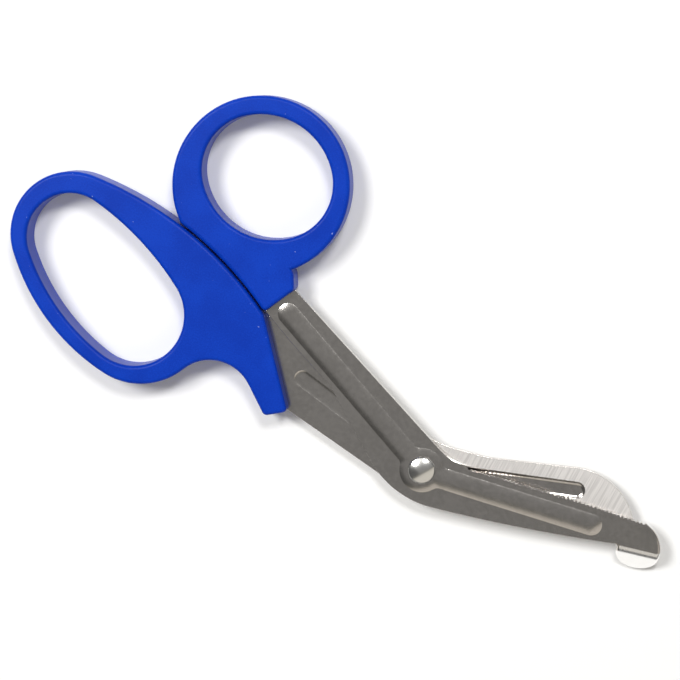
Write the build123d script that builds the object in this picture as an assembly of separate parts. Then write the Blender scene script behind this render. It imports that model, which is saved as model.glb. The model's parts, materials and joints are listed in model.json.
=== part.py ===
from build123d import *
import math
import os

# Bandage scissors, closed. Two stamped steel levers cross at a domed rivet. Each lever is one
# sheet: a blade, a round boss at the rivet, a shank and a tang inside its moulded handle.
# The model is drawn with the rivet's axis at the origin, X towards the blade tips, Y towards
# the thumb side, Z up, and the levers' inner faces meeting at Z = 0. At the end it is moved so
# that the origin is under its middle, on the surface that it lies on. All sizes in millimetres.

# Sheet, and the forms pressed out of it
sheet = 1.8
blade_gap = 0.06
press_height = 1.3
flank_slope = 37.5
crown_round = 0.6
rib_width = 5.7
boss_diameter = 12.0

# Rivet and washer
shaft_diameter = 5.0
running_clearance = 0.05
head_diameter = 7.3
head_rim = 0.3
head_dome = 1.4
washer_diameter = 7.6
washer_thickness = 0.8
tail_diameter = 6.8
tail_dome = 0.9

# Lower lever, which carries the thumb ring, the saw edge and the foot
lower_shank_angle = 25.3
lower_blade_angle = 7.5
collar_reach = 58.6
collar_skew = 4.0
lower_neck_above = 5.5
lower_neck_below = 4.2
lower_shank_bow = 0.3
lower_waist_reach = 33.0
lower_waist_below = 4.0
lower_waist_round = 8.0
lower_belly_drop = 11.1
lower_belly_round = 25.0
lower_back_bow = 1.0
lower_shank_rib = 54.4
lower_blade_rib = 46.9
lower_blade_rib_sink = 0.5

# Saw edge of the lower blade, and the hollow behind its heel
edge_above = 4.1
edge_heel = 11.5
edge_end = 60.5
edge_bow = 0.5
ricasso_step = 0.6
ricasso_round = 18.0
tooth_pitch = 1.06
tooth_depth = 0.42
saw_bevel = 1.1
saw_land = 0.45
grind_run = 1.5

# Nose and foot of the lower blade
nose_reach = 66.5
nose_bow = 0.75
nose_cut_reach = 62.9
nose_cut_drop = 1.1
nose_cut_round = 1.0
crease_start = 55.0
crease_drop = 3.4
crease_rise = 0.8
foot_angle = 55.0
foot_bend_radius = 1.2

# Upper lever, which carries the finger loop
upper_shank_angle = 12.6
upper_blade_angle = 17.0
upper_shank_above = 6.4
upper_shank_below = 9.35
upper_heel_below = 7.7
upper_heel_round = 8.0
upper_choil_reach = 6.5
upper_choil_drop = 7.0
upper_choil_round = 4.0
upper_shank_rib = 40.0
upper_blade_rib = 41.2
spine_reach = 41.5
spine_above = 6.0
spine_dip_reach = 17.0
spine_dip_above = 5.4
spine_heel_reach = 2.2
spine_heel_above = 7.3
spine_round = 30.0
tip_reach = 57.6
tip_bow = 3.5
tip_round = 1.5
upper_edge_heel = 12.0
upper_edge_drop = 4.4
upper_edge_lean = 3.35
upper_edge_bow = 0.3
upper_bevel = 2.4
upper_land = 0.35

# Tangs inside the handles
tang_width = 6.4
tang_length = 15.0
tang_round = 2.6
lock_hole = 3.0
upper_tang_width = 8.0
# These three are measured from where the finger handle's front face crosses the shank
upper_tang_reach = 19.7
upper_shoulder_reach = -3.3
upper_shoulder_above_reach = 3.7
shoulder_run = 3.0

# Handles
handle_thickness = 10.4
handle_edge_round = 1.0
handle_gap = 0.5
corner_round = 1.3

# Thumb ring: a disc with an oval hole, and a neck down to the collar, from which the ring's
# place and the neck's shoulder are measured
ring_back = 16.4
ring_up = 26.45
ring_radius = 23.6
thumb_hole_length = 35.6
thumb_hole_width = 31.9
thumb_hole_tilt = 8.0
thumb_hole_right = 0.65
thumb_hole_up = 2.7
neck_above = 5.7
neck_shoulder_reach = 2.7
neck_shoulder_above = 8.2
neck_rear_angle = 230.0

# Finger loop: two end circles joined by long arcs, with a hole of the same kind
loop_rear_back = 110.3
loop_rear_up = 18.9
loop_rear_radius = 16.7
loop_front_back = 85.2
loop_front_up = 6.85
loop_front_radius = 18.6
loop_lower_radius = 57.0
loop_upper_radius = 96.4
loop_upper_lean = 3.82
rear_bar = 4.9
front_bar = 4.9
hole_rear_drop = 1.0
hole_front_shift = 1.65
hole_front_drop = 0.7
hole_lower_radius = 57.0
hole_upper_radius = 79.0

# Front end of the finger handle, and the finger rest under it
front_reach = 48.3
front_slope = 52.3
toe_drop = 13.8
toe_width = 6.4
toe_slope = 34.0
rest_slope = 39.4
rest_round = 11.5

inner_face = blade_gap / 2
outer_face = inner_face + sheet
press_top = outer_face + press_height
handle_half = handle_thickness / 2
shaft_radius = shaft_diameter / 2
# How far a cutter reaches past what it cuts
past = 1.0


def polar(angle, distance=1.0):
    return Vector(distance * math.cos(math.radians(angle)), distance * math.sin(math.radians(angle)))


def blade_point(angle, reach, above):
    """Point of a blade: reach along a line that rises from the rivet, then square to it."""
    return polar(angle, reach) + polar(angle + 90, above)


def shank_point(angle, reach, above):
    """Point of a shank: the same, along a line that rises from the rivet towards the handles."""
    return polar(180 - angle, reach) + polar(90 - angle, above)


def lower_blade_point(reach, above):
    return blade_point(lower_blade_angle, reach, above)


def lower_shank_point(reach, above):
    return shank_point(lower_shank_angle, reach, above)


def upper_blade_point(reach, above):
    return blade_point(upper_blade_angle, reach, above)


def upper_shank_point(reach, above):
    return shank_point(upper_shank_angle, reach, above)


def collar_point(above):
    """Point on the slanted end face of the thumb handle, where the shank comes out."""
    return lower_shank_point(collar_reach - above * math.tan(math.radians(collar_skew)), above)


def crease_point(reach):
    """Point on the line where the foot bends away from the blade."""
    share = (reach - crease_start) / (nose_reach - crease_start)
    return lower_blade_point(reach, crease_rise * share - crease_drop)


def round_corner(face, point, rounding):
    return fillet(face.vertices().sort_by_distance(point)[0], rounding)


def outline(corners):
    """Face through (point, rounding, bow) corners. The bow is how far the next side swells out."""
    sides = []
    for (start, _, bow), (end, _, _) in zip(corners, corners[1:] + corners[:1]):
        if bow:
            swell = (end - start).normalized().rotate(Axis.Z, -90) * bow
            sides.append(ThreePointArc(start, (start + end) / 2 + swell, end))
        else:
            sides.append(Line(start, end))
    face = make_face(sides)
    for point, rounding, _ in corners:
        if rounding:
            face = round_corner(face, point, rounding)
    return face


def circles_meet(centre_a, radius_a, centre_b, radius_b, side):
    """Where two circles cross: side 1 is to the left of the way from a to b, -1 to its right."""
    way = centre_b - centre_a
    along = (radius_a**2 - radius_b**2 + way.length**2) / (2 * way.length)
    across = math.sqrt(radius_a**2 - along**2)
    return centre_a + way.normalized() * along + way.normalized().rotate(Axis.Z, 90) * (side * across)


def line_leaves_circle(start, direction, centre, radius):
    nearest = start + direction * (centre - start).dot(direction)
    return nearest + direction * math.sqrt(radius**2 - (centre - nearest).length ** 2)


def arc_about(centre, start, end, turn=1):
    """Arc about a centre from one point to another; turn 1 is counter-clockwise, -1 clockwise."""
    first = math.degrees(math.atan2(start.Y - centre.Y, start.X - centre.X))
    last = math.degrees(math.atan2(end.Y - centre.Y, end.X - centre.X))
    return CenterArc(centre, (start - centre).length, first, turn * ((turn * (last - first)) % 360))


def pressed_form(base, shrink, shank_end, blade_start, blade_end):
    """Boss and both ribs as one raised form with sloped flanks and rounded crowns."""
    lean = 90 - flank_slope
    form = crowned(Pos(0, 0, base) * Circle(boss_diameter / 2 - shrink), lean)
    for start, end in ((Vector(0, 0), shank_end), (blade_start, blade_end)):
        way = end - start
        middle = (start + end) / 2
        place = Pos(middle.X, middle.Y, base) * Rot(0, 0, math.degrees(math.atan2(way.Y, way.X)))
        form += crowned(place * SlotCenterToCenter(way.length, rib_width - 2 * shrink), lean)
    return form


def crowned(face, lean):
    raised = extrude(face, press_height, taper=lean)
    return fillet(raised.edges().group_by(Axis.Z)[-1], crown_round)


def stamped_lever(face, shank_end, blade_start, blade_end, lock_point):
    """Sheet with ribs and boss pressed upwards and hollow below, pierced for the tang's lock."""
    hollow_shrink = sheet * math.tan(math.radians(flank_slope / 2))
    lever = extrude(Pos(0, 0, inner_face) * face, sheet)
    lever += pressed_form(outer_face, 0, shank_end, blade_start, blade_end)
    lever -= pressed_form(inner_face, hollow_shrink, shank_end, blade_start, blade_end)
    lever -= Pos(lock_point.X, lock_point.Y, 0) * Cylinder(lock_hole / 2, 4 * sheet)
    return lever


def edge_arc(start, end, bow):
    """Centre, radius, first angle and sweep of an edge; the blade lies to the right of start to end."""
    way = end - start
    radius = (way.length**2 / 4 + bow**2) / (2 * bow)
    centre = (start + end) / 2 + way.normalized().rotate(Axis.Z, -90) * (radius - bow)
    angles = sorted(math.degrees(math.atan2(p.Y - centre.Y, p.X - centre.X)) for p in (start, end))
    return centre, radius, angles[0], angles[1] - angles[0]


def bevel_cutter(edge, width, land):
    """What grinding takes off the outer side of a cutting edge, down to a thin land."""
    centre, radius, first, sweep = edge
    fall = (sheet - land) / width
    section = make_face(Polyline(
        (radius - width - past, outer_face + fall * past),
        (radius + past, inner_face + land - fall * past),
        (radius + past, outer_face + fall * past),
        close=True,
    ))
    run = math.degrees(grind_run / radius)
    ring = revolve(Plane.XZ * section, Axis.Z, sweep + 2 * run)
    return Pos(centre.X, centre.Y, 0) * Rot(0, 0, first - run) * ring


def saw_cutter(edge):
    """Row of notches through the whole thickness, evenly spaced along the edge's arc."""
    centre, radius, first, sweep = edge
    teeth = int(math.radians(sweep) * radius / tooth_pitch)
    step = sweep / teeth
    points = [polar(first, radius + past)]
    for tooth in range(teeth):
        points.append(polar(first + tooth * step, radius))
        points.append(polar(first + (tooth + 0.5) * step, radius - tooth_depth))
    points.append(polar(first + sweep, radius))
    points.append(polar(first + sweep, radius + past))
    notches = make_face(Polyline(*points, close=True))
    return Pos(centre.X, centre.Y, 0) * extrude(notches, press_top)


def foot():
    """Blunt foot: the sheet's end, rounded and bent down along the crease to the handles' underside."""
    left = crease_point(crease_start)
    right = crease_point(nose_reach)
    along = (right - left).normalized()
    down = along.rotate(Axis.Z, -90)
    width = (right - left).length
    bend_z = inner_face - foot_bend_radius
    outer_radius = foot_bend_radius + sheet
    angle = math.radians(foot_angle)
    length = (handle_half + bend_z + foot_bend_radius * math.cos(angle)) / math.sin(angle)
    outer_arc = CenterArc((0, bend_z), outer_radius, 90, -foot_angle)
    inner_arc = CenterArc((0, bend_z), foot_bend_radius, 90, -foot_angle)
    reach = Vector(math.cos(angle), -math.sin(angle)) * length
    outer_end = outer_arc @ 1 + reach
    inner_end = inner_arc @ 1 + reach
    section = make_face([
        outer_arc,
        Line(outer_arc @ 1, outer_end),
        Line(outer_end, inner_end),
        Line(inner_end, inner_arc @ 1),
        inner_arc,
        Line(inner_arc @ 0, outer_arc @ 0),
    ])
    strip = extrude(Plane(origin=right, x_dir=down, z_dir=-along) * section, width)
    bend_end = (left + right) / 2 + down * (outer_arc @ 1).X + Vector(0, 0, (outer_arc @ 1).Y)
    flange_way = down * math.cos(angle) - Vector(0, 0, math.sin(angle))
    flange_plane = Plane(origin=bend_end, x_dir=along, z_dir=along.cross(flange_way))
    root = Pos(0, -length / 2 - past) * Rectangle(width, length + 2 * past)
    rounded = Ellipse(width / 2, length) + root
    return strip & extrude(flange_plane * rounded, 2 * sheet + past, both=True)


def lower_outline():
    """Flat outline of the lower lever, counter-clockwise from the outer end of the foot's crease."""
    half_turn = math.radians((lower_shank_angle + lower_blade_angle) / 2)
    ricasso_reach = edge_heel - ricasso_round * math.tan(half_turn)
    ricasso_above = edge_above + ricasso_step
    tang_middle = (lower_neck_above - lower_neck_below) / 2
    tang_top = tang_middle + tang_width / 2
    tang_bottom = tang_middle - tang_width / 2
    tang_reach = collar_reach + tang_length
    return outline([
        (crease_point(nose_reach), 0, nose_bow),
        (lower_blade_point(nose_cut_reach, edge_above - nose_cut_drop), 0, 0),
        (lower_blade_point(edge_end, edge_above), nose_cut_round, edge_bow),
        (lower_blade_point(edge_heel, edge_above), 0, 0),
        (lower_blade_point(edge_heel, ricasso_above), 0, 0),
        (lower_blade_point(ricasso_reach, ricasso_above), ricasso_round, 0),
        (collar_point(lower_neck_above), 0, 0),
        (collar_point(tang_top), 0, 0),
        (lower_shank_point(tang_reach, tang_top), tang_round, 0),
        (lower_shank_point(tang_reach, tang_bottom), tang_round, 0),
        (collar_point(tang_bottom), 0, 0),
        (collar_point(-lower_neck_below), 0, lower_shank_bow),
        (lower_shank_point(lower_waist_reach, -lower_waist_below), lower_waist_round, 0),
        (lower_shank_point(0, -lower_belly_drop), lower_belly_round, lower_back_bow),
        (crease_point(crease_start), 0, 0),
    ])


def lower_blade():
    rib_start = lower_blade_point(0, -lower_blade_rib_sink)
    rib_end = lower_blade_point(lower_blade_rib, -lower_blade_rib_sink)
    lock_point = lower_shank_point(collar_reach + tang_length / 2, 0)
    shank_end = lower_shank_point(lower_shank_rib, 0)
    lever = stamped_lever(lower_outline(), shank_end, rib_start, rib_end, lock_point)
    heel = lower_blade_point(edge_heel, edge_above)
    edge = edge_arc(heel, lower_blade_point(edge_end, edge_above), edge_bow)
    lever = lever + foot() - bevel_cutter(edge, saw_bevel, saw_land) - saw_cutter(edge)
    return lever - Cylinder(shaft_radius, 4 * handle_half)


def upper_outline():
    """Outline of the upper lever, counter-clockwise from the corner at its tip."""
    tip_drop = upper_edge_drop + upper_edge_lean
    tang_top = upper_tang_width / 2
    tang_end = front_reach + upper_tang_reach
    shoulder_above = front_reach + upper_shoulder_above_reach
    shoulder_below = front_reach + upper_shoulder_reach
    return outline([
        (upper_blade_point(tip_reach, -tip_drop), tip_round, tip_bow),
        (upper_blade_point(spine_reach, spine_above), 0, 0),
        (upper_blade_point(spine_dip_reach, spine_dip_above), spine_round, 0),
        (upper_blade_point(spine_heel_reach, spine_heel_above), spine_round, 0),
        (upper_shank_point(shoulder_above, upper_shank_above), 0, 0),
        (upper_shank_point(shoulder_above + shoulder_run, tang_top), 0, 0),
        (upper_shank_point(tang_end, tang_top), tang_round, 0),
        (upper_shank_point(tang_end, -tang_top), tang_round, 0),
        (upper_shank_point(shoulder_below + shoulder_run, -tang_top), 0, 0),
        (upper_shank_point(shoulder_below, -upper_shank_below), 0, 0),
        (upper_shank_point(0, -upper_heel_below), upper_heel_round, 0),
        (upper_blade_point(upper_choil_reach, -upper_choil_drop), upper_choil_round, 0),
        (upper_blade_point(upper_edge_heel, -upper_edge_drop), 0, upper_edge_bow),
    ])


def upper_blade():
    """Made like the lower lever, with its ribs upwards, and then turned over."""
    rib_end = upper_blade_point(upper_blade_rib, 0)
    lock_point = upper_shank_point(front_reach + (upper_tang_reach + upper_shoulder_above_reach) / 2, 0)
    shank_end = upper_shank_point(upper_shank_rib, 0)
    lever = stamped_lever(upper_outline(), shank_end, Vector(0, 0), rib_end, lock_point)
    heel = upper_blade_point(upper_edge_heel, -upper_edge_drop)
    tip = upper_blade_point(tip_reach, -upper_edge_drop - upper_edge_lean)
    lever -= bevel_cutter(edge_arc(tip, heel, upper_edge_bow), upper_bevel, upper_land)
    lever -= Cylinder(shaft_radius + running_clearance, 4 * handle_half)
    return mirror(lever, about=Plane.XY)


def loop_upper_centre():
    """Centre of the long arc that both handles follow where they lie side by side.

    The arc touches the loop's rear circle. With no lean it would end where the finger handle's
    front face crosses the shank, and the lean lifts it from there.
    """
    rear = Vector(-loop_rear_back, loop_rear_up)
    front_middle = upper_shank_point(front_reach, 0)
    level = circles_meet(rear, loop_upper_radius - loop_rear_radius, front_middle, loop_upper_radius, -1)
    return rear + (level - rear).rotate(Axis.Z, loop_upper_lean)


def moulded(face):
    """Handle of even thickness about the blades' plane, with its edges rounded."""
    body = extrude(face, handle_half, both=True)
    rims = body.edges().group_by(Axis.Z)
    return fillet(rims[0] + rims[-1], handle_edge_round)


def thumb_outline():
    """Ring and neck, cut back along the arc that clears the finger handle."""
    ring_centre = lower_shank_point(collar_reach, 0) + Vector(-ring_back, ring_up)
    hole_centre = ring_centre + Vector(thumb_hole_right, thumb_hole_up)
    shoulder = lower_shank_point(collar_reach + neck_shoulder_reach, neck_shoulder_above)
    neck = make_face(Polyline(
        collar_point(-2 * lower_neck_below),
        collar_point(neck_above),
        shoulder,
        ring_centre,
        ring_centre + polar(neck_rear_angle, ring_radius),
        close=True,
    ))
    below = loop_upper_centre()
    face = Pos(ring_centre) * Circle(ring_radius) + neck
    face -= Pos(below) * Circle(loop_upper_radius + handle_gap)
    hole = even_oval(thumb_hole_length, thumb_hole_width)
    face -= Pos(hole_centre) * Rot(0, 0, -thumb_hole_tilt) * hole
    for corner in (collar_point(neck_above), collar_point(-lower_neck_below)):
        face = round_corner(face, corner, corner_round)
    return face


def even_oval(length, width):
    """Oval of four arcs that meet where the outline runs at 45 degrees to the oval's axes."""
    shift = (length - width) / (2 * (math.sqrt(2) - 1)) * math.cos(math.radians(45))
    end_radius = length / 2 - shift
    side_radius = width / 2 + shift
    return make_face([
        CenterArc((shift, 0), end_radius, -45, 90),
        CenterArc((0, -shift), side_radius, 45, 90),
        CenterArc((-shift, 0), end_radius, 135, 90),
        CenterArc((0, shift), side_radius, 225, 90),
    ])


def oval(front, front_radius, rear, rear_radius, lower_radius, upper_radius):
    """Oval of four arcs: a circle at each end, and two long arcs that touch both."""
    upper = circles_meet(front, upper_radius - front_radius, rear, upper_radius - rear_radius, 1)
    lower = circles_meet(front, lower_radius - front_radius, rear, lower_radius - rear_radius, -1)
    front_top = front + (front - upper).normalized() * front_radius
    rear_top = rear + (rear - upper).normalized() * rear_radius
    rear_bottom = rear + (rear - lower).normalized() * rear_radius
    front_bottom = front + (front - lower).normalized() * front_radius
    return make_face([
        arc_about(upper, front_top, rear_top),
        arc_about(rear, rear_top, rear_bottom),
        arc_about(lower, rear_bottom, front_bottom),
        arc_about(front, front_bottom, front_top),
    ])


def finger_outline():
    """Loop and front end, counter-clockwise from the corner beside the thumb handle."""
    rear = Vector(-loop_rear_back, loop_rear_up)
    front = Vector(-loop_front_back, loop_front_up)
    upper = loop_upper_centre()
    lower = circles_meet(
        front, loop_lower_radius - loop_front_radius, rear, loop_lower_radius - loop_rear_radius, -1
    )
    middle = upper_shank_point(front_reach, 0)
    top = line_leaves_circle(middle, polar(180 - front_slope), upper, loop_upper_radius)
    toe = middle + polar(-front_slope, toe_drop)
    toe_back = toe + polar(180 + toe_slope, toe_width)
    rest_way = polar(180 - rest_slope)
    rest_square = polar(270 - rest_slope, rest_round)
    rest = line_leaves_circle(toe_back + rest_square, -rest_way, front, loop_front_radius + rest_round)
    rear_top = rear + (rear - upper).normalized() * loop_rear_radius
    rear_bottom = rear + (rear - lower).normalized() * loop_rear_radius
    front_bottom = front + (front - lower).normalized() * loop_front_radius
    front_rest = front + (rest - front).normalized() * loop_front_radius
    face = make_face([
        arc_about(upper, top, rear_top),
        arc_about(rear, rear_top, rear_bottom),
        arc_about(lower, rear_bottom, front_bottom),
        arc_about(front, front_bottom, front_rest),
        arc_about(rest, front_rest, rest - rest_square, -1),
        Line(rest - rest_square, toe_back),
        Line(toe_back, toe),
        Line(toe, top),
    ])
    for corner in (top, toe, toe_back):
        face = round_corner(face, corner, corner_round)
    hole_rear = rear - Vector(0, hole_rear_drop)
    hole_front = front - Vector(hole_front_shift, hole_front_drop)
    return face - oval(
        hole_front,
        loop_front_radius - front_bar,
        hole_rear,
        loop_rear_radius - rear_bar,
        hole_lower_radius,
        hole_upper_radius,
    )


def cap(radius, height, base):
    """Spherical cap standing on a level."""
    ball_radius = (radius**2 + height**2) / (2 * height)
    ball = Pos(0, 0, base + height - ball_radius) * Sphere(ball_radius)
    return ball & Pos(0, 0, base + height / 2) * Cylinder(radius, height)


def pivot_rivet():
    """Domed head, shaft through both levers, and the tail that was peened over the washer."""
    head_base = press_top
    tail_base = press_top + blade_gap + washer_thickness
    rivet = Pos(0, 0, head_base + head_rim / 2) * Cylinder(head_diameter / 2, head_rim)
    rivet += cap(head_diameter / 2, head_dome, head_base + head_rim)
    shaft_length = head_base + tail_base
    rivet += Pos(0, 0, (head_base - tail_base) / 2) * Cylinder(shaft_radius, shaft_length)
    return rivet + mirror(cap(tail_diameter / 2, tail_dome, tail_base), about=Plane.XY)


def rivet_washer():
    middle = press_top + blade_gap + washer_thickness / 2
    ring = Circle(washer_diameter / 2) - Circle(shaft_radius + running_clearance)
    return Pos(0, 0, -middle) * extrude(ring, washer_thickness / 2, both=True)


def main():
    lower = lower_blade()
    upper = upper_blade()
    pieces = {
        "lower_blade": lower,
        "upper_blade": upper,
        "thumb_handle": moulded(thumb_outline()) - lower,
        "finger_handle": moulded(finger_outline()) - upper,
        "pivot_rivet": pivot_rivet(),
        "rivet_washer": rivet_washer(),
    }
    box = Compound(list(pieces.values())).bounding_box()
    stand = Pos(-box.center().X, -box.center().Y, -box.min.Z)
    os.makedirs("parts", exist_ok=True)
    for name, piece in pieces.items():
        export_step(stand * piece, f"parts/{name}.step")
    pivot = stand.position
    print(f"rivet axis at {pivot.X:.3f}, {pivot.Y:.3f}, blades meet at {pivot.Z:.3f}")
    print(f"size {box.size.X:.2f} x {box.size.Y:.2f} x {box.size.Z:.2f}")


main()
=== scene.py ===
import bpy
import json
import math
import numpy as np
from mathutils import Matrix, Vector
from mathutils.geometry import delaunay_2d_cdt


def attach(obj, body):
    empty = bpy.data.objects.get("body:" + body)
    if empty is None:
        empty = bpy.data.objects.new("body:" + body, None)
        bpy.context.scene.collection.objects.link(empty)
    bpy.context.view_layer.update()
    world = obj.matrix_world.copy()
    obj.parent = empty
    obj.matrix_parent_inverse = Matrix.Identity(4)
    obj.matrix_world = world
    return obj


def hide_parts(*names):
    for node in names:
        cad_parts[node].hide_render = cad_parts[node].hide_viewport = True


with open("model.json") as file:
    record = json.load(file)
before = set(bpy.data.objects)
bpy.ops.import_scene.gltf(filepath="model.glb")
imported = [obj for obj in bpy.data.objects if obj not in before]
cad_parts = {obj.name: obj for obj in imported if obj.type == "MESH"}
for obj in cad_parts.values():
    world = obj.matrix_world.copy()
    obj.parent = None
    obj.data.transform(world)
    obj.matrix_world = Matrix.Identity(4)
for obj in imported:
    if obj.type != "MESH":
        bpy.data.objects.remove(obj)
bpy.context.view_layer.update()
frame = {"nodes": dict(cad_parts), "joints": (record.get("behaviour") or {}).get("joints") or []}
pivot = Vector(frame["joints"][0]["pos_m"])

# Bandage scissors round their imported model. The levers, the rivet and its washer are new meshes,
# and the two handles are shown as they are, in new materials.

# Camera, in metres and degrees. The picture's right-hand side points picture_turn from +X.
image_size = 680
sensor_width = 36.0
picture_turn = 24.0
metres_per_pixel = 0.0002654
camera_distance = 0.650
camera_tilt = 8.5
camera_tilt_towards = 45.0
aim_from_pivot = Vector((-0.034016, 0.022345, 0.0))

# Studio. Bearings are measured in the picture, from its right-hand side towards its top, and leans
# from straight up. The floor shines a little by itself, to the camera and in mirrors.
floor_size = 6.0
floor_white = (0.93, 0.928, 0.918, 1.0)
floor_lift = 0.03
floor_gleam = 0.12
left_lamp = {"bearing": 144.0, "lean": 30.0, "distance": 1.3, "size": 0.43, "watts": 9.9}
top_lamp = {"bearing": 68.0, "lean": 28.0, "distance": 1.3, "size": 0.29, "watts": 6.4}

# The room: its ceiling, the zones laid over it in this order, and a dark band round its horizon.
# A zone fades in where the cosine between a direction and its bearing passes its start.
ceiling_level = 0.235
room_zones = {
    "glow": {"bearing": 108.0, "starts": 0.10, "fade": 0.30, "colour": (0.46, 0.46, 0.46, 1.0)},
    "dark_side": {"bearing": 218.0, "starts": 0.26, "fade": 0.15, "colour": (0.09, 0.09, 0.09, 1.0)},
    "dark_strip": {"bearing": 300.0, "starts": 0.16, "fade": 0.08, "colour": (0.13, 0.13, 0.117, 1.0)},
    "pale_wall": {"bearing": 300.0, "starts": 0.25, "fade": 0.05, "colour": (0.68, 0.646, 0.5916, 1.0)},
}
horizon_level = 0.12
horizon_top = 0.60
horizon_fade = 0.12

# Cross-grinding of the upper lever's inner face: the bearing of its scratches in the picture, and
# where it starts, in millimetres from the rivet's axis and square to them
hatch_bearing = 62.0
ground_start = -3.0


def in_picture(bearing, lean=90.0):
    """Direction at a bearing in the picture, leaning away from straight up."""
    turn = math.radians(bearing + picture_turn)
    fall = math.radians(lean)
    level = math.sin(fall)
    return Vector((math.cos(turn) * level, math.sin(turn) * level, math.cos(fall)))


# The levers are drawn in millimetres about the rivet's axis: X to the blade tips, Y to the thumb
# side, and Z = 0 halfway between the levers' inner faces. Both are made with their ribs upwards,
# and the upper lever is then turned over.
millimetre = 0.001
sheet = 1.8
blade_gap = 0.06
hollow_shrink = 0.61
rib_half = 2.85
boss_radius = 6.0
inner_face = blade_gap / 2
outer_face = inner_face + sheet
handle_half = 5.2

# Soft blends of the pressed forms and rounded rims, which the part leaves sharp or nearly so. The
# rounding takes no more than rim_share of the sheet's thickness, and at a corner sharper than the
# cosine sharpest_corner it reaches no further in.
join_blend = 0.7
bevel_blend = 0.05
rim_round = 0.07
blunt_rim_round = 0.75
rim_share = 0.44
sharpest_corner = 0.66
rim_steps = (22.5, 45.0, 67.5, 90.0)

# Pressed forms in section: slope and run of a shallow arch, and of the short root that it stands
# on. The upper lever's is weaker on its shank, and changes over the span along X.
lower_press = {"arch": (0.18, 2.6), "root": (0.15, 0.3)}
upper_press = {"arch": (0.75, 1.05), "root": (0.0, 0.3)}
upper_shank_share = 0.30
shank_share_span = (-8.0, -5.0)

# Spacing of the levers' points, in millimetres, and in degrees round a centre
outline_step = 0.4
tooth_points = 4
foot_points = 56
hole_turn = 6.0
boss_reach = 7.3
boss_step = 0.14
boss_turn = 2.0
rib_apron = 0.6
rib_step = 0.12
rib_run_step = 0.8
rib_end_turn = 5.0
flat_field = ((-76, 76), (-20, 60))
flat_step = 1.6
form_margin = 0.9
rim_margin = 0.1
hole_margin = 0.15
merge_cell = 0.09
same_place = 1e-6

# Finishes of the levers' faces, by their place in lever_finishes. The bright bevel finish is also laid
# on the foot's outer face as painted reflection, so that the foot shows as white as the floor it
# mirrors.
satin_slot, ground_slot, bevel_and_painted_foot_slot = range(3)

# Lower lever
lower_shank_angle = 25.3
lower_blade_angle = 7.5
collar_reach = 58.6
collar_skew = 4.0
neck_above = 5.5
neck_below = 4.2
shank_bow = 0.3
waist_reach = 33.0
waist_below = 4.0
waist_round = 8.0
belly_drop = 11.1
belly_round = 25.0
back_bow = 1.0
lower_shank_rib = 54.4
lower_blade_rib = 46.9
lower_blade_rib_sink = 0.5
tang_width = 6.4
tang_length = 15.0
tang_round = 2.6
edge_above = 4.1
edge_heel = 11.5
edge_end = 60.5
edge_bow = 0.5
ricasso_step = 0.6
ricasso_round = 18.0
tooth_pitch = 1.06
tooth_depth = 0.52
gullet_run = 0.6
gullet_drop = 0.12
ricasso_chamfer = 0.8
ricasso_chamfer_slope = 0.55
ricasso_chamfer_span = (-0.08, 1.15)
nose_reach = 66.5
nose_bow = 0.75
nose_cut_reach = 62.9
nose_cut_drop = 1.1
nose_cut_round = 1.0
crease_start = 55.0
crease_drop = 3.4
crease_rise = 0.8
foot_angle = math.radians(48.0)
foot_bend_radius = 1.0
foot_inner_round = 0.8
foot_blend = (-1.2, -0.2)
foot_rim_span = (-0.2, 0.6)
nose_rim_span = (edge_end + 0.5, nose_cut_reach + 0.5)
# Painted reflection: past this distance below the crease, the foot's outer face takes the bright bevel
# steel
painted_foot_gleam_start = 0.15
tang_hole = 1.5

# Upper lever
upper_shank_angle = 12.6
upper_blade_angle = 17.0
upper_shank_above = 9.3
upper_shank_below = 9.35
heel_below = 7.7
heel_round = 8.0
choil_reach = 6.5
choil_drop = 7.0
choil_round = 4.0
upper_shank_rib = 40.0
upper_blade_rib = 41.2
spine_reach = 41.5
spine_above = 6.0
spine_dip_reach = 17.0
spine_dip_above = 5.4
spine_heel_reach = 2.2
spine_heel_above = 7.3
spine_round = 30.0
tip_reach = 57.6
tip_bow = 3.5
tip_round = 1.5
upper_edge_heel = 12.0
upper_edge_drop = 4.4
upper_edge_lean = 3.35
upper_edge_bow = 0.3
upper_bevel = 2.4
upper_land = 0.35
bevel_overrun = 1.0
hollow_lip = 0.08
upper_tang_half = 4.0
upper_tang_end = 68.0
upper_tang_hole_reach = 60.0
shoulder_below = 45.0
shoulder_above = 56.2
shoulder_run = 3.0
shaft_radius = 2.5
running_clearance = 0.05


def polar(angle, distance=1.0):
    """Point at an angle in degrees from X and at a distance."""
    turn = math.radians(angle)
    return distance * np.array((math.cos(turn), math.sin(turn)))


def blade_point(angle, reach, above):
    """Point of a blade: reach along a line that rises from the rivet, then square to it."""
    return polar(angle, reach) + polar(angle + 90, above)


def shank_point(angle, reach, above):
    """Point of a shank: the same, along a line that rises from the rivet towards the handles."""
    return polar(180 - angle, reach) + polar(90 - angle, above)


def lower_blade_point(reach, above):
    return blade_point(lower_blade_angle, reach, above)


def lower_shank_point(reach, above):
    return shank_point(lower_shank_angle, reach, above)


def upper_blade_point(reach, above):
    return blade_point(upper_blade_angle, reach, above)


def upper_shank_point(reach, above):
    return shank_point(upper_shank_angle, reach, above)


def collar_point(above):
    """Point on the slanted end face of the thumb handle, where the shank comes out."""
    return lower_shank_point(collar_reach - above * math.tan(math.radians(collar_skew)), above)


def crease_point(reach):
    """Point on the line where the foot bends away from the blade."""
    share = (reach - crease_start) / (nose_reach - crease_start)
    return lower_blade_point(reach, crease_rise * share - crease_drop)


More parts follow.
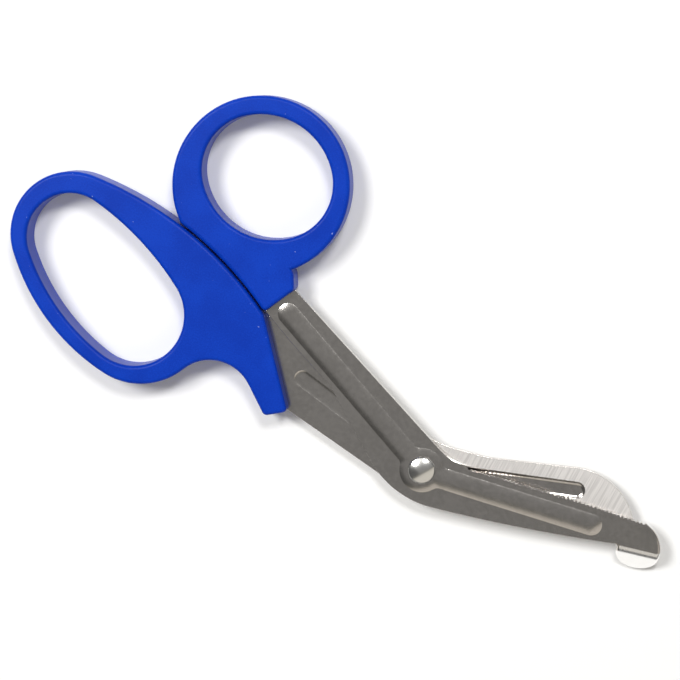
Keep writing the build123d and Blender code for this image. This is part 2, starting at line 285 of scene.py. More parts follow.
crease_left = crease_point(crease_start)
crease_right = crease_point(nose_reach)
foot_width = np.linalg.norm(crease_right - crease_left)
foot_along = (crease_right - crease_left) / foot_width
foot_down = np.array((foot_along[1], -foot_along[0]))
foot_bend_run = foot_angle * (foot_bend_radius + sheet / 2)
foot_fall = handle_half + inner_face - foot_bend_radius * (1 - math.cos(foot_angle))
foot_length = foot_fall / math.sin(foot_angle)
ricasso_turn = math.radians(lower_shank_angle + lower_blade_angle)
ricasso_reach = edge_heel - ricasso_round * math.tan(ricasso_turn / 2)
ricasso_corner = lower_blade_point(ricasso_reach, edge_above + ricasso_step)


class Side:
    """Straight or bowed side of an outline that runs counter-clockwise, with the sheet on its left."""

    def __init__(self, start, end, bow=0.0):
        self.start = start
        self.length = np.linalg.norm(end - start)
        self.along = (end - start) / self.length
        self.left = np.array((-self.along[1], self.along[0]))
        self.radius = (self.length ** 2 / 4 + bow ** 2) / (2 * bow) if bow else None
        if bow:
            self.centre = (start + end) / 2 + self.left * (self.radius - bow)

    def inward(self, point):
        """Direction from a point on the side into the sheet."""
        if self.radius is None:
            return self.left
        return (self.centre - point) / np.linalg.norm(self.centre - point)

    def depth(self, points):
        """How far points lie to the left of the side."""
        if self.radius is None:
            return (points - self.start) @ self.left
        return self.radius - np.linalg.norm(points - self.centre, axis=-1)

    def beyond(self, points):
        """How far points lie past either end of the side."""
        run = (points - self.start) @ self.along
        return np.maximum(np.maximum(-run, run - self.length), 0)

    def angle(self, point):
        return math.atan2(point[1] - self.centre[1], point[0] - self.centre[0])

    def run(self, first, last, step):
        """Points from one place on the side to another, without the last."""
        count = max(1, math.ceil(np.linalg.norm(last - first) / step))
        if self.radius is None:
            return first + (last - first) * np.arange(count)[:, None] / count
        return arc_points(self.centre, self.radius, self.angle(first), self.angle(last), count)


def arc_points(centre, radius, first, last, count):
    """Points on an arc from one bearing to another, in radians, without the last."""
    turns = first + (last - first) * np.arange(count) / count
    return centre + radius * np.stack((np.cos(turns), np.sin(turns)), axis=-1)


def rounded_corner(before, after, corner, radius, step):
    """Where the arc that rounds a corner starts and ends, and its points without the last."""
    refinements = 6
    normals = np.array((before.inward(corner), after.inward(corner)))
    side = math.copysign(1.0, normals[0][0] * normals[1][1] - normals[0][1] * normals[1][0])
    centre = corner + side * radius * normals.sum(axis=0) / (1 + normals[0] @ normals[1])
    for _ in range(refinements):
        misses = side * radius - np.array((before.depth(centre), after.depth(centre)))
        centre = centre + np.linalg.solve(normals, misses)
        normals = np.array((before.inward(centre), after.inward(centre)))
    first, last = centre - side * radius * normals
    begin = math.atan2(first[1] - centre[1], first[0] - centre[0])
    end = math.atan2(last[1] - centre[1], last[0] - centre[0])
    turn = side * ((side * (end - begin)) % (2 * math.pi))
    count = max(2, math.ceil(radius * abs(turn) / step))
    return first, last, arc_points(centre, radius, begin, begin + turn, count)


def trace(corners, step, own_runs):
    """Outline through (point, rounding, bow) corners. Some sides have a run of points of their own."""
    following = corners[1:] + corners[:1]
    sides = [Side(start, end, bow) for (start, _, bow), (end, _, _) in zip(corners, following)]
    starts = []
    ends = []
    arcs = []
    for index, (corner, rounding, _) in enumerate(corners):
        first, last, arc = corner, corner, np.empty((0, 2))
        if rounding:
            before, after = sides[index - 1], sides[index]
            first, last, arc = rounded_corner(before, after, corner, rounding, step)
        ends.append(first)
        starts.append(last)
        arcs.append(arc)
    path = []
    for index, side in enumerate(sides):
        end = ends[(index + 1) % len(ends)]
        path.append(arcs[index])
        if index in own_runs:
            path.append(own_runs[index](side, starts[index], end))
        else:
            path.append(side.run(starts[index], end, step))
    return np.concatenate(path)


def tooth_places(side, points):
    """Places of points along a side, counted in teeth from its start."""
    teeth = int(side.length / tooth_pitch)
    away = points - side.centre
    turns = np.arctan2(away[..., 1], away[..., 0]) - side.angle(side.start)
    return turns * side.radius / side.length * teeth


def tooth_cut(places):
    """How far the gullets between the teeth are cut in."""
    return tooth_depth * np.sin(np.pi * (places % 1))


def tooth_rows(side, places, insets):
    """Points across a toothed side, at places counted in teeth."""
    teeth = int(side.length / tooth_pitch)
    turns = side.angle(side.start) + places / teeth * side.length / side.radius
    radii = (side.radius - insets)[..., None]
    return side.centre + radii * np.stack((np.cos(turns), np.sin(turns)), axis=-1)


def saw_run(side, first, last):
    """Saw teeth along a bowed side, with a few points to a tooth."""
    place, end_place = tooth_places(side, np.array((first, last))) * tooth_points
    places = np.arange(math.ceil(place), math.floor(end_place)) / tooth_points
    return tooth_rows(side, places, tooth_cut(places))


def foot_run(side, first, last):
    """Half an ellipse: the rounded end of the foot before it is bent down."""
    turns = np.pi * np.arange(foot_points)[:, None] / foot_points
    middle = (first + last) / 2
    return middle - (last - first) / 2 * np.cos(turns) - side.left * foot_length * np.sin(turns)


def lower_corners():
    """Flat outline of the lower lever with its foot unbent, from the foot's right-hand side."""
    tang_middle = (neck_above - neck_below) / 2
    tang_top = tang_middle + tang_width / 2
    tang_bottom = tang_middle - tang_width / 2
    tang_reach = collar_reach + tang_length
    return [
        (crease_right + foot_down * foot_bend_run, 0, 0),
        (crease_right, 0, nose_bow),
        (lower_blade_point(nose_cut_reach, edge_above - nose_cut_drop), 0, 0),
        (lower_blade_point(edge_end, edge_above), nose_cut_round, edge_bow),
        (lower_blade_point(edge_heel, edge_above), 0, 0),
        (lower_blade_point(edge_heel, edge_above + ricasso_step), 0, 0),
        (ricasso_corner, ricasso_round, 0),
        (collar_point(neck_above), 0, 0),
        (collar_point(tang_top), 0, 0),
        (lower_shank_point(tang_reach, tang_top), tang_round, 0),
        (lower_shank_point(tang_reach, tang_bottom), tang_round, 0),
        (collar_point(tang_bottom), 0, 0),
        (collar_point(-neck_below), 0, shank_bow),
        (lower_shank_point(waist_reach, -waist_below), waist_round, 0),
        (lower_shank_point(0, -belly_drop), belly_round, back_bow),
        (crease_left, foot_inner_round, 0),
        (crease_left + foot_down * foot_bend_run, 0, 0),
    ]


def upper_corners():
    """Outline of the upper lever, counter-clockwise from the corner at its tip."""
    return [
        (upper_blade_point(tip_reach, -upper_edge_drop - upper_edge_lean), tip_round, tip_bow),
        (upper_blade_point(spine_reach, spine_above), 0, 0),
        (upper_blade_point(spine_dip_reach, spine_dip_above), spine_round, 0),
        (upper_blade_point(spine_heel_reach, spine_heel_above), spine_round, 0),
        (upper_shank_point(shoulder_above, upper_shank_above), 0, 0),
        (upper_shank_point(shoulder_above + shoulder_run, upper_tang_half), 0, 0),
        (upper_shank_point(upper_tang_end, upper_tang_half), tang_round, 0),
        (upper_shank_point(upper_tang_end, -upper_tang_half), tang_round, 0),
        (upper_shank_point(shoulder_below + shoulder_run, -upper_tang_half), 0, 0),
        (upper_shank_point(shoulder_below, -upper_shank_below), 0, 0),
        (upper_shank_point(0, -heel_below), heel_round, 0),
        (upper_blade_point(choil_reach, -choil_drop), choil_round, 0),
        (upper_blade_point(upper_edge_heel, -upper_edge_drop), 0, upper_edge_bow),
    ]


def smooth_step(values, start, end):
    """Shares that rise smoothly from 0 to 1 while values go from start to end."""
    share = np.clip((values - start) / (end - start), 0, 1)
    return share * share * (3 - 2 * share)


def soft_max(first, second, blend):
    """Larger of two values, rounded over where they differ by less than the blend."""
    return np.maximum(first, second) + np.maximum(blend - np.abs(first - second), 0) ** 2 / (4 * blend)


def soft_min(first, second, blend):
    return -soft_max(-first, -second, blend)


def form_depth(ribs, points):
    """How far points lie inside the edge of the pressed form, which is the boss and its ribs."""
    depth = boss_radius - np.linalg.norm(points, axis=-1)
    for origin, angle, length in ribs:
        run = np.clip((points - origin) @ polar(angle), 0, length)[:, None]
        rib = rib_half - np.linalg.norm(points - origin - run * polar(angle), axis=-1)
        depth = soft_max(depth, rib, join_blend)
    return depth


def raised(press, depth):
    """Height of a pressed form at a depth inside its edge."""
    slope, run = press["arch"]
    inside = np.clip(depth, 0, run)
    arch = slope * (inside - inside ** 2 / (2 * run))
    slope, run = press["root"]
    return arch + slope * run / 3 * (1 - (1 - np.clip(depth / run, 0, 1)) ** 3)


def seat(press):
    """Level of the boss's crown, where the rivet's head or its washer sits."""
    return float(outer_face + raised(press, boss_radius))


def pressed(lever, points, shrink=0.0):
    """Height of the boss and its ribs, which may be weaker on the shank's side."""
    weak = lever["shank_share"]
    share = weak + (1 - weak) * smooth_step(points[:, 0], *shank_share_span)
    return raised(lever["press"], form_depth(lever["ribs"], points) - shrink) * share


def top_level(lever, points):
    """Height of the outer face, with its cuts."""
    level = outer_face + pressed(lever, points)
    for cut in lever["cuts"]:
        level = cut(level, points)
    return level


def bottom_level(lever, points):
    """Height of the inner face, which is hollow behind the pressed form."""
    return inner_face + pressed(lever, points, hollow_shrink)


def level_normals(level, lever, points):
    """Upward normals of a level, from its slope to both sides of each point."""
    reach = 0.01
    slopes = []
    for step in (np.array((reach, 0.0)), np.array((0.0, reach))):
        slopes.append((level(lever, points + step) - level(lever, points - step)) / (2 * reach))
    normals = np.stack((-slopes[0], -slopes[1], np.ones(len(points))), axis=-1)
    return normals / np.linalg.norm(normals, axis=-1, keepdims=True)


def lattice(origin, angle, runs, steps_aside):
    """Points on a lattice turned by an angle about its origin."""
    run, aside = (grid.reshape(-1, 1) for grid in np.meshgrid(runs, steps_aside))
    return origin + run * polar(angle) + aside * polar(angle + 90)


def fan(centre, radii, angles):
    """Points round a centre, at every pair of a radius and an angle in degrees."""
    radius, turn = (grid.reshape(-1, 1) for grid in np.meshgrid(radii, np.radians(angles)))
    return centre + radius * np.concatenate((np.cos(turn), np.sin(turn)), axis=-1)


def inside_depth(points, path):
    """Distance of points from an outline, below 0 outside it."""
    batch = 1500
    ends = np.roll(path, -1, axis=0)
    ways = ends - path
    lengths = (ways ** 2).sum(axis=-1)
    result = []
    for part in np.array_split(points, max(1, len(points) // batch)):
        away = part[:, None] - path
        share = np.clip((away * ways).sum(axis=-1) / lengths, 0, 1)
        distance = np.linalg.norm(away - share[..., None] * ways, axis=-1).min(axis=1)
        crosses = (path[:, 1] > part[:, 1, None]) != (ends[:, 1] > part[:, 1, None])
        rise = np.where(ways[:, 1] == 0, 1.0, ways[:, 1])
        place = path[:, 0] + ways[:, 0] * (part[:, 1, None] - path[:, 1]) / rise
        within = (crosses & (part[:, 0, None] < place)).sum(axis=1) % 2 == 1
        result.append(np.where(within, distance, -distance))
    return np.concatenate(result)


def inner_points(lever, path):
    """Points inside an outline: close where the pressed form curves, sparse where it is flat."""
    boss_radii = np.arange(shaft_radius + 2 * hole_margin, boss_reach, boss_step)
    boss = fan(np.zeros(2), boss_radii, np.arange(0, 360, boss_turn))
    rows = np.arange(-rib_apron, rib_half, rib_step)
    asides = np.concatenate((rib_half - rows, rows - rib_half))
    forms = []
    for origin, angle, length in lever["ribs"]:
        end_turns = np.arange(angle - 90, angle + 91, rib_end_turn)
        forms.append(lattice(origin, angle, np.arange(boss_reach, length, rib_run_step), asides))
        forms.append(fan(origin + polar(angle, length), rib_half - rows, end_turns))
    forms = np.concatenate(forms + lever["extra"])
    forms = forms[np.linalg.norm(forms, axis=-1) > boss_reach - rim_margin / 2]
    flat = lattice(np.zeros(2), 0, *(np.arange(*span, flat_step) for span in flat_field))
    flat = flat[form_depth(lever["ribs"], flat) < -form_margin]
    points = np.concatenate((boss, forms, flat))
    points = points[inside_depth(points, path) > rim_margin]
    for centre, radius in lever["holes"]:
        points = points[np.linalg.norm(points - centre, axis=-1) > radius + hole_margin]
    cells = np.round(points / merge_cell).astype(int)
    _, first = np.unique(cells, axis=0, return_index=True)
    return points[np.sort(first)]


def inward_normals(path):
    """Unit normals of an outline's points, and how much further a corner's point has to move."""
    ways = np.roll(path, -1, axis=0) - path
    lengths = np.linalg.norm(ways, axis=-1, keepdims=True)
    lefts = np.stack((-ways[:, 1], ways[:, 0]), axis=-1) / lengths
    both = lefts + np.roll(lefts, 1, axis=0)
    normals = both / np.linalg.norm(both, axis=-1, keepdims=True)
    stretch = 1 / np.maximum((normals * lefts).sum(axis=-1, keepdims=True), sharpest_corner)
    return normals, stretch


def triangulate(lever, lip):
    """Points and triangles inside an outline, and which points are on it and on its holes' edges."""
    loops = [lip]
    for centre, radius in lever["holes"]:
        loops.append(fan(centre, [radius], np.arange(0, 360, hole_turn)))
    flat = np.concatenate(loops + [inner_points(lever, lip)])
    edges = []
    starts = np.cumsum([0] + [len(loop) for loop in loops]).tolist()
    for first, last in zip(starts, starts[1:]):
        edges += [(i, i + 1) for i in range(first, last - 1)] + [(last - 1, first)]
    placed, _, triangles, sources, _, _ = delaunay_2d_cdt(
        [Vector(point) for point in flat.tolist()], edges, [], 1, same_place
    )
    placed = np.array([tuple(point) for point in placed])
    triangles = np.array(triangles)
    for centre, radius in lever["holes"]:
        # A triangle that reaches no further than a hole's edge lies in the hole
        furthest = np.linalg.norm(placed[triangles] - centre, axis=-1).max(axis=1)
        triangles = triangles[furthest > radius + hole_margin / 10]
    where = {source: index for index, inputs in enumerate(sources) for source in inputs}
    rings = [np.array([where[i] for i in range(*ends)]) for ends in zip(starts, starts[1:])]
    return placed, triangles, rings


def band(upper, lower):
    """Faces between two rings that run counter-clockwise, which look outwards from the rings."""
    return np.stack((lower, np.roll(lower, -1), np.roll(upper, -1), upper), axis=-1).tolist()


def press_lever(lever):
    """Points, normals, faces and finishes of a lever, drawn flat with its ribs upwards."""
    path = trace(lever["corners"], outline_step, lever["own_runs"])
    normals, stretch = inward_normals(path)
    thickness = top_level(lever, path) - bottom_level(lever, path)
    rim = np.minimum(lever["rim"](path), rim_share * thickness)[:, None]
    inset = normals * stretch * rim
    placed, triangles, (lip, *holes) = triangulate(lever, path + inset)

    count = len(placed)
    middles = placed[triangles].mean(axis=1)
    faces = triangles.tolist() + (triangles[:, ::-1] + count).tolist()
    kinds = [lever["finish"](middle, top) for top in (True, False) for middle in middles]
    points = []
    point_normals = []
    for level, sign in ((top_level, 1), (bottom_level, -1)):
        points.append(np.column_stack((placed, level(lever, placed))))
        point_normals.append(level_normals(level, lever, placed) * sign)

    rings = [lip]
    total = 2 * count
    for level, sign in ((top_level, 1), (bottom_level, -1)):
        for angle in rim_steps[::sign]:
            turn = math.radians(angle)
            ring = path + inset * (1 - math.sin(turn))
            height = level(lever, ring) - sign * rim[:, 0] * (1 - math.cos(turn))
            outward = level_normals(level, lever, ring) * sign * math.cos(turn)
            outward[:, :2] -= normals * math.sin(turn)
            points.append(np.column_stack((ring, height)))
            point_normals.append(outward)
            rings.append(np.arange(len(path)) + total)
            total += len(path)
    rings.append(lip + count)
    rim_kinds = [lever["finish"](point, True) for point in path]
    for upper, lower in zip(rings, rings[1:]):
        faces += band(upper, lower)
        kinds += rim_kinds
    for hole in holes:
        faces += band(hole + count, hole)
        kinds += [satin_slot] * len(hole)
    return np.concatenate(points), np.concatenate(point_normals), faces, kinds


def bend_foot(points, normals):
    """Bends the foot down along its crease, from flat."""
    away = points[:, :2] - crease_left
    aside = away @ foot_along
    run = np.maximum(away @ foot_down, 0)
    share = smooth_step(aside, *foot_blend)
    angle = np.minimum(run / (foot_bend_radius + sheet / 2), foot_angle)
    past = np.maximum(run - foot_bend_run, 0)
    radius = foot_bend_radius + points[:, 2] - inner_face
    reach = radius * np.sin(angle) + past * np.cos(angle)
    level = inner_face - foot_bend_radius + radius * np.cos(angle) - past * np.sin(angle)
    bent = points.copy()
    bent[:, :2] += ((reach - run) * share)[:, None] * foot_down
    bent[:, 2] += (level - points[:, 2]) * share
    turn = angle * share
    forward = normals[:, :2] @ foot_down
    new_forward = forward * np.cos(turn) + normals[:, 2] * np.sin(turn)
    turned = normals.copy()
    turned[:, :2] += (new_forward - forward)[:, None] * foot_down
    turned[:, 2] = normals[:, 2] * np.cos(turn) - forward * np.sin(turn)
    return bent, turned


def lower_rim(path):
    """Rim rounding of the lower lever, larger round its blunt nose and foot."""
    reach = path @ polar(lower_blade_angle)
    away = path - crease_left
    nose = smooth_step(reach, *nose_rim_span)
    foot = smooth_step(away @ foot_down, *foot_rim_span) * smooth_step(away @ foot_along, *foot_blend)
    return rim_round + (blunt_rim_round - rim_round) * np.maximum(nose, foot)


def upper_rim(path):
    """Rim rounding of the upper lever, the same all round."""
    return np.full(len(path), rim_round)


def make_piece(name, points, normals, faces, kinds, materials):
    """Object from points in millimetres about the rivet's axis."""
    mesh = bpy.data.meshes.new(name)
    mesh.from_pydata((points * millimetre + np.array(pivot)).tolist(), [], faces)
    mesh.polygons.foreach_set("material_index", kinds)
    mesh.shade_smooth()
    mesh.normals_split_custom_set_from_vertices(normals.tolist())
    for material in materials:
        mesh.materials.append(material)
    piece = bpy.data.objects.new(name, mesh)
    bpy.context.scene.collection.objects.link(piece)
    return piece


def cut_gullets(edge, level, points):
    """Top face with notches between the saw teeth, which run out away from the edge."""
    run_out = np.clip(1 - edge.depth(points) / gullet_run, 0, 1)
    notch = tooth_cut(tooth_places(edge, points)) / tooth_depth
    past_ends = np.clip(1 - edge.beyond(points), 0, 1)
    return level - gullet_drop * run_out * notch * past_ends


def ricasso_arc():
    """Centre of the rounding between shank and blade, and the bearing where the blade starts."""
    blade_up = polar(lower_blade_angle + 90)
    shank_up = polar(90 - lower_shank_angle)
    centre = ricasso_corner + ricasso_round * (blade_up + shank_up) / (1 + blade_up @ shank_up)
    return centre, math.radians(lower_blade_angle - 90)


def cut_ricasso(level, points):
    """Top face with a chamfer on the rounding between shank and blade, widest in mid run."""
    centre, heel = ricasso_arc()
    away = points - centre
    depth = np.linalg.norm(away, axis=-1) - ricasso_round
    turn = heel - np.arctan2(away[..., 1], away[..., 0])
    first, last = ricasso_chamfer_span
    share = np.clip((turn / ricasso_turn - first) / (last - first), 0, 1)
    width = ricasso_chamfer * np.sin(np.pi * share)
    return level - ricasso_chamfer_slope * np.maximum(width - depth, 0) ** 2 / (2 * ricasso_chamfer)


def foot_grid():
    """Points on the unbent foot, close together where it will bend."""
    bend = np.arange(-0.4, 1.5, 0.1)
    flat = np.arange(1.7, foot_bend_run + foot_length, outline_step)
    aside = np.arange(-1.4, foot_width + 1.0, outline_step)
    bearing = math.degrees(math.atan2(foot_down[1], foot_down[0]))
    return lattice(crease_left, bearing, np.concatenate((bend, flat)), aside)


def tooth_grid(edge):
    """Points inside a saw edge, in rows as deep as the gullets run out."""
    places = np.arange(-2, edge.length / tooth_pitch + 2, 1 / tooth_points)
    insets = np.arange(0.2, gullet_run + 0.3, 0.14)
    return tooth_rows(edge, *np.meshgrid(places, insets)).reshape(-1, 2)


def ricasso_grid():
    """Points on the ricasso's chamfer."""
    centre, heel = ricasso_arc()
    turns = np.degrees(np.arange(heel - 0.7, heel + 0.2, 0.02))
    return fan(centre, ricasso_round + np.arange(0.2, 1.2, 0.12), turns)


def lower_lever(materials):
    """The lever nearer the viewer, with saw teeth and a foot that is bent down."""
    heel = lower_blade_point(edge_heel, edge_above)
    edge = Side(lower_blade_point(edge_end, edge_above), heel, edge_bow)
    tang_hole_reach = collar_reach + tang_length / 2

    def finish(middle, top):
        # The foot's outer face and its rim get the bright bevel steel as painted reflection of the
        # white floor; the only real ground bevel is on the upper lever
        below = middle - crease_left
        in_painted_foot_gleam = below @ foot_down > painted_foot_gleam_start and 0 < below @ foot_along < foot_width
        return bevel_and_painted_foot_slot if top and in_painted_foot_gleam else satin_slot

    lever = {
        "corners": lower_corners(),
        # Sides with points of their own, by the number of the corner that they start from
        "own_runs": {3: saw_run, 16: foot_run},
        "press": lower_press,
        "shank_share": 1.0,
        "ribs": [
            (np.zeros(2), 180 - lower_shank_angle, lower_shank_rib),
            (lower_blade_point(0, -lower_blade_rib_sink), lower_blade_angle, lower_blade_rib),
        ],
        "cuts": [lambda level, points: cut_gullets(edge, level, points), cut_ricasso],
        "holes": [
            (np.zeros(2), shaft_radius),
            (lower_shank_point(tang_hole_reach, 0), tang_hole),
        ],
        "extra": [foot_grid(), tooth_grid(edge), ricasso_grid()],
        "rim": lower_rim,
        "finish": finish,
    }
    points, normals, faces, kinds = press_lever(lever)
    points, normals = bend_foot(points, normals)
    return make_piece("lower_lever_steel", points, normals, faces, kinds, materials)


def bevel_grid(edge):
    """Points in rows along a ground bevel and a little past its ends."""
    past_end = 2
    start = edge.angle(edge.start)
    first = start - past_end / edge.radius
    last = start + (edge.length + past_end) / edge.radius
    turns = np.degrees(np.arange(first, last, 0.8 / edge.radius))
    return fan(edge.centre, edge.radius - np.arange(0.3, 3.0, 0.2), turns)


def upper_lever(materials):
    """The lever further from the viewer, drawn with its outer face upwards and then turned over."""
    heel = upper_blade_point(upper_edge_heel, -upper_edge_drop)
    tip = upper_blade_point(tip_reach, -upper_edge_drop - upper_edge_lean)
    edge = Side(heel, tip, upper_edge_bow)
    ribs = [
        (np.zeros(2), 180 - upper_shank_angle, upper_shank_rib),
        (np.zeros(2), upper_blade_angle, upper_blade_rib),
    ]
    ground_line = in_picture(hatch_bearing + 90)
    ground_way = np.array((-ground_line.x, -ground_line.y))

    def cut_bevel(level, points):
        slope = (sheet - upper_land) / upper_bevel
        bevel = inner_face + upper_land + slope * edge.depth(points) + edge.beyond(points)
        return soft_min(level, bevel, bevel_blend)

    def finish(middle, top):
        if top:
            on_bevel = edge.depth(middle) < upper_bevel and edge.beyond(middle) < bevel_overrun
            return bevel_and_painted_foot_slot if on_bevel else satin_slot
        ground = middle @ ground_way > ground_start
        hollow = form_depth(ribs, middle[None])[0] > hollow_shrink - hollow_lip
        return ground_slot if ground and not hollow else satin_slot

    lever = {
        "corners": upper_corners(),
        "own_runs": {},
        "press": upper_press,
        "shank_share": upper_shank_share,
        "ribs": ribs,
        "cuts": [cut_bevel],
        "holes": [
            (np.zeros(2), shaft_radius + running_clearance),
            (upper_shank_point(upper_tang_hole_reach, 0), tang_hole),
        ],
        "extra": [bevel_grid(edge)],
        "rim": upper_rim,
        "finish": finish,
    }
    points, normals, faces, kinds = press_lever(lever)
    points = points * (1, 1, -1)
    normals = normals * (1, 1, -1)
    faces = [face[::-1] for face in faces]
    return make_piece("upper_lever_steel", points, normals, faces, kinds, materials)


# Rivet: a shallow crown whose edge rounds down to a short rim, over the shaft and the peened tail
head_radius = 3.65
head_rim = 0.3
head_crown_radius = 9.9
head_edge_radius = 0.85
head_edge_turn = math.radians(62.0)
head_base = seat(lower_press)
washer_top = -seat(upper_press) - blade_gap
washer_thickness = 0.8
tail_base = washer_thickness - washer_top
washer_radius = 3.8
washer_round = 0.12
tail_radius = 3.4
tail_dome = 0.9
rivet_facets = 96
crown_points = 24
head_edge_points = 12
tail_points = 20
washer_round_points = 5

# Which way a profile's surface faces, as a turn from straight up
sideways = math.pi / 2
downwards = math.pi


def dome_profile():
    """Radius, height and slope of the head from its middle to its rim, in millimetres."""
    shoulder = head_radius - head_edge_radius * math.sin(head_edge_turn)
    inner_radius = head_crown_radius - head_edge_radius
    meet = math.asin(shoulder / inner_radius)
    crown = np.linspace(0, meet, crown_points)
    edge = np.linspace(meet, head_edge_turn, head_edge_points)[1:]
    crown_falls = head_crown_radius * (1 - np.cos(crown))
    edge_falls = head_crown_radius - inner_radius * math.cos(meet) - head_edge_radius * np.cos(edge)
    edge_radii = shoulder + head_edge_radius * np.sin(edge)
    radii = np.concatenate((head_crown_radius * np.sin(crown), edge_radii))
    falls = np.concatenate((crown_falls, edge_falls))
    return radii, falls[-1] - falls, np.concatenate((crown, edge))


def tail_profile():
    """The same for the peened tail, a plain shallow cap."""
    cap_radius = (tail_radius ** 2 + tail_dome ** 2) / (2 * tail_dome)
    turns = np.linspace(0, math.asin(tail_radius / cap_radius), tail_points)
    return cap_radius * np.sin(turns), tail_dome - cap_radius * (1 - np.cos(turns)), turns


def turned_piece(name, profile, material, closed=False):
    """Piece turned about the rivet's axis from radii, heights and slopes, with poles unless closed.

    At a sharp corner the profile has the same place twice, with the slopes to both sides of it.
    """
    around = np.arange(rivet_facets) * 2 * np.pi / rivet_facets
    circle = np.stack((np.cos(around), np.sin(around)), axis=-1)
    rings = profile if closed else profile[1:-1]
    points = []
    normals = []
    for radius, height, turn in rings:
        points.append(np.column_stack((radius * circle, np.full(rivet_facets, height))))
        slope = np.full(rivet_facets, math.cos(turn))
        normals.append(np.column_stack((math.sin(turn) * circle, slope)))
    total = len(rings) * rivet_facets
    faces = []
    for index in range(len(rings) - (0 if closed else 1)):
        if np.allclose(rings[index][:2], rings[(index + 1) % len(rings)][:2]):
            continue
        upper = np.arange(rivet_facets) + index * rivet_facets
        faces += band(upper, (upper + rivet_facets) % total)
    if not closed:
        last = total - rivet_facets
        for i in range(rivet_facets):
            following = (i + 1) % rivet_facets
            faces.append([total, i, following])
            faces.append([total + 1, last + following, last + i])
        points.append(np.array([[0.0, 0.0, profile[0][1]], [0.0, 0.0, profile[-1][1]]]))
        normals.append(np.array([[0.0, 0.0, 1.0], [0.0, 0.0, -1.0]]))
    kinds = [0] * len(faces)
    return make_piece(name, np.concatenate(points), np.concatenate(normals), faces, kinds, [material])


def make_rivet(material):
    """Rivet turned from one profile, which runs from the middle of its head to that of its tail."""
    head_top = head_base + head_rim
    radii, heights, turns = dome_profile()
    profile = list(zip(radii, head_top + heights, turns))
    profile += [(head_radius, head_top, sideways), (head_radius, head_base, sideways)]
    profile += [(head_radius, head_base, downwards), (shaft_radius, head_base, downwards)]
    profile += [(shaft_radius, head_base, sideways), (shaft_radius, -tail_base, sideways)]
    profile += [(shaft_radius, -tail_base, 0.0), (tail_radius, -tail_base, 0.0)]
    radii, heights, turns = tail_profile()
    profile += list(zip(radii, -tail_base - heights, downwards - turns))[::-1]
    return turned_piece("rivet", profile, material)


def make_washer(material):
    """Washer between the upper lever's boss and the rivet's tail, with its outer corners rounded."""
    bottom = -tail_base
    bore = shaft_radius + running_clearance
    profile = []
    for level, side, start in ((washer_top, 1, 0.0), (bottom, -1, sideways)):
        for turn in np.linspace(start, start + sideways, washer_round_points):
            radius = washer_radius - washer_round * (1 - math.sin(turn))
            height = level - side * washer_round * (1 - side * math.cos(turn))
            profile.append((radius, height, turn))
    profile += [(bore, bottom, downwards), (bore, bottom, -sideways)]
    profile += [(bore, washer_top, -sideways), (bore, washer_top, 0.0)]
    return turned_piece("washer", profile, material, closed=True)


def add_camera():
    """Camera at the photograph's angle, with its picture upright about the aim."""
    out = in_picture(camera_tilt_towards, camera_tilt)
    up = in_picture(90.0)
    up = (up - out * up.dot(out)).normalized()
    right = up.cross(out)
    place = pivot + aim_from_pivot + out * camera_distance
    camera = bpy.data.cameras.new("camera")
    camera.sensor_width = sensor_width
    camera.lens = sensor_width * camera_distance / (metres_per_pixel * image_size)
    eye = bpy.data.objects.new("camera", camera)
    eye.matrix_world = Matrix((
        (right.x, up.x, out.x, place.x),
        (right.y, up.y, out.y, place.y),
        (right.z, up.z, out.z, place.z),
        (0.0, 0.0, 0.0, 1.0),
    ))
    bpy.context.scene.collection.objects.link(eye)
    bpy.context.scene.camera = eye


def add_node(tree, kind, inputs=None, **settings):
    """New node with its settings, and its inputs set to values or linked to other sockets."""
    node = tree.nodes.new(kind)
    for name, value in settings.items():
        setattr(node, name, value)
    for name, value in (inputs or {}).items():
        if isinstance(value, bpy.types.NodeSocket):
            tree.links.new(value, node.inputs[name])
        else:
            node.inputs[name].default_value = value
    return node


def new_material(name):
    """New material and its node tree, which is empty."""
    material = bpy.data.materials.new(name)
    material.use_nodes = True
    tree = material.node_tree
    tree.nodes.clear()
    return material, tree


def finish_material(tree, shader):
    """Lays a shader on the material's surface."""
    add_node(tree, "ShaderNodeOutputMaterial", {"Surface": shader.outputs[0]})


def step_up(tree, value, start, end):
    """Share that rises smoothly from 0 to 1 while a value goes from start to end."""
    ramp = add_node(tree, "ShaderNodeMapRange", {
        "Value": value, "From Min": start, "From Max": end,
    }, interpolation_type="SMOOTHSTEP")
    return ramp.outputs["Result"]


def blend(tree, share, first, second):
    """Colour that goes from the first to the second, each a colour or a socket."""
    mix = add_node(tree, "ShaderNodeMix", {"Factor": share}, data_type="RGBA")
    for index, colour in ((6, first), (7, second)):
        if isinstance(colour, bpy.types.NodeSocket):
            tree.links.new(colour, mix.inputs[index])
        else:
            mix.inputs[index].default_value = colour
    return mix.outputs[2]


def maths(tree, operation, first, second):
    """Result of an operation on two values."""
    node = add_node(tree, "ShaderNodeMath", {0: first, 1: second}, operation=operation)
    return node.outputs[0]


def reach_along(tree, place, way):
    """How far a place or a direction reaches along a way."""
    node = add_node(tree, "ShaderNodeVectorMath", {0: place, 1: way}, operation="DOT_PRODUCT")
    return node.outputs["Value"]


def grey(level):
    return (level, level, level, 1.0)


